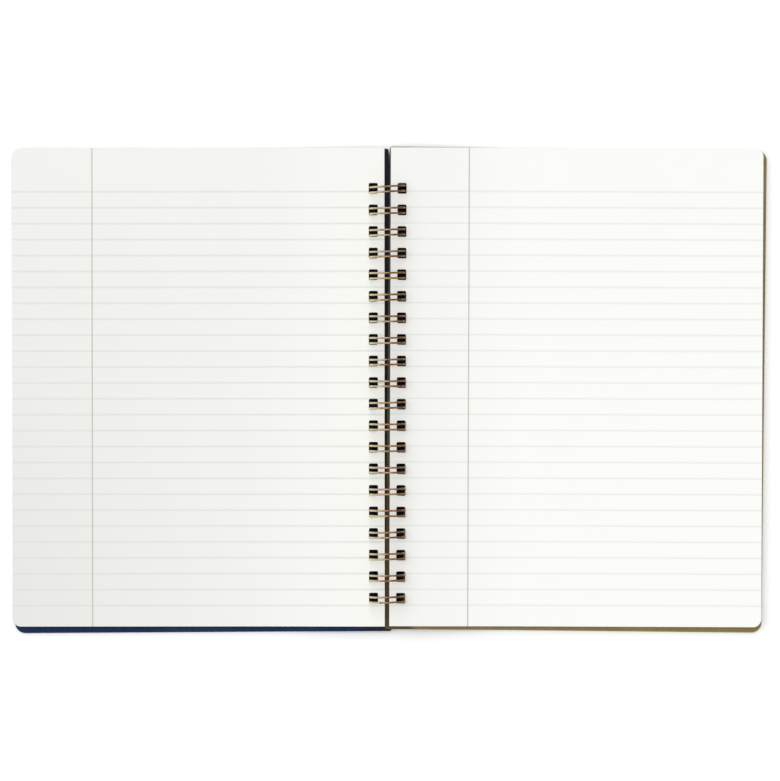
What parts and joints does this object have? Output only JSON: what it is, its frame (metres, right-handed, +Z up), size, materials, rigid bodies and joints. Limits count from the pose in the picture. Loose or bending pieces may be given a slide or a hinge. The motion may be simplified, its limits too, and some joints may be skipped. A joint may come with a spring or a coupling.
{
  "type": "open spiral notebook",
  "caption": "Ruled notebook lying open and flat, its two board covers and two piles of punched sheets held by one twin-loop wire along the spine.",
  "frame": {"origin": "on the table, under the middle of the open notebook's bounding box", "axes": "+X across the spine from the left page to the right page, +Y along the spine to the top of the pages, +Z up from the table"},
  "size_m": [0.4414, 0.2848, 0.0212],
  "materials": {
    "navy_board": "navy blue board, satin",
    "kraft_board": "olive gold board, satin",
    "turned_paper": "warm white ruled paper",
    "unturned_paper": "warm white ruled paper",
    "brass_wire": "antique brass wire"
  },
  "bodies": {
    "back_half": {"back_cover": "kraft_board", "unturned_sheets": "unturned_paper", "wire_binding": "brass_wire"},
    "front_half": {"front_cover": "navy_board", "turned_sheets": "turned_paper"}
  },
  "joints": [
    {"name": "front_half_turn", "type": "hinge", "parent": "back_half", "child": "front_half", "pos_m": [-0.00111, 0.00168, 0.0106], "axis": [0, 1, 0], "range_deg": [0, 182]}
  ]
}
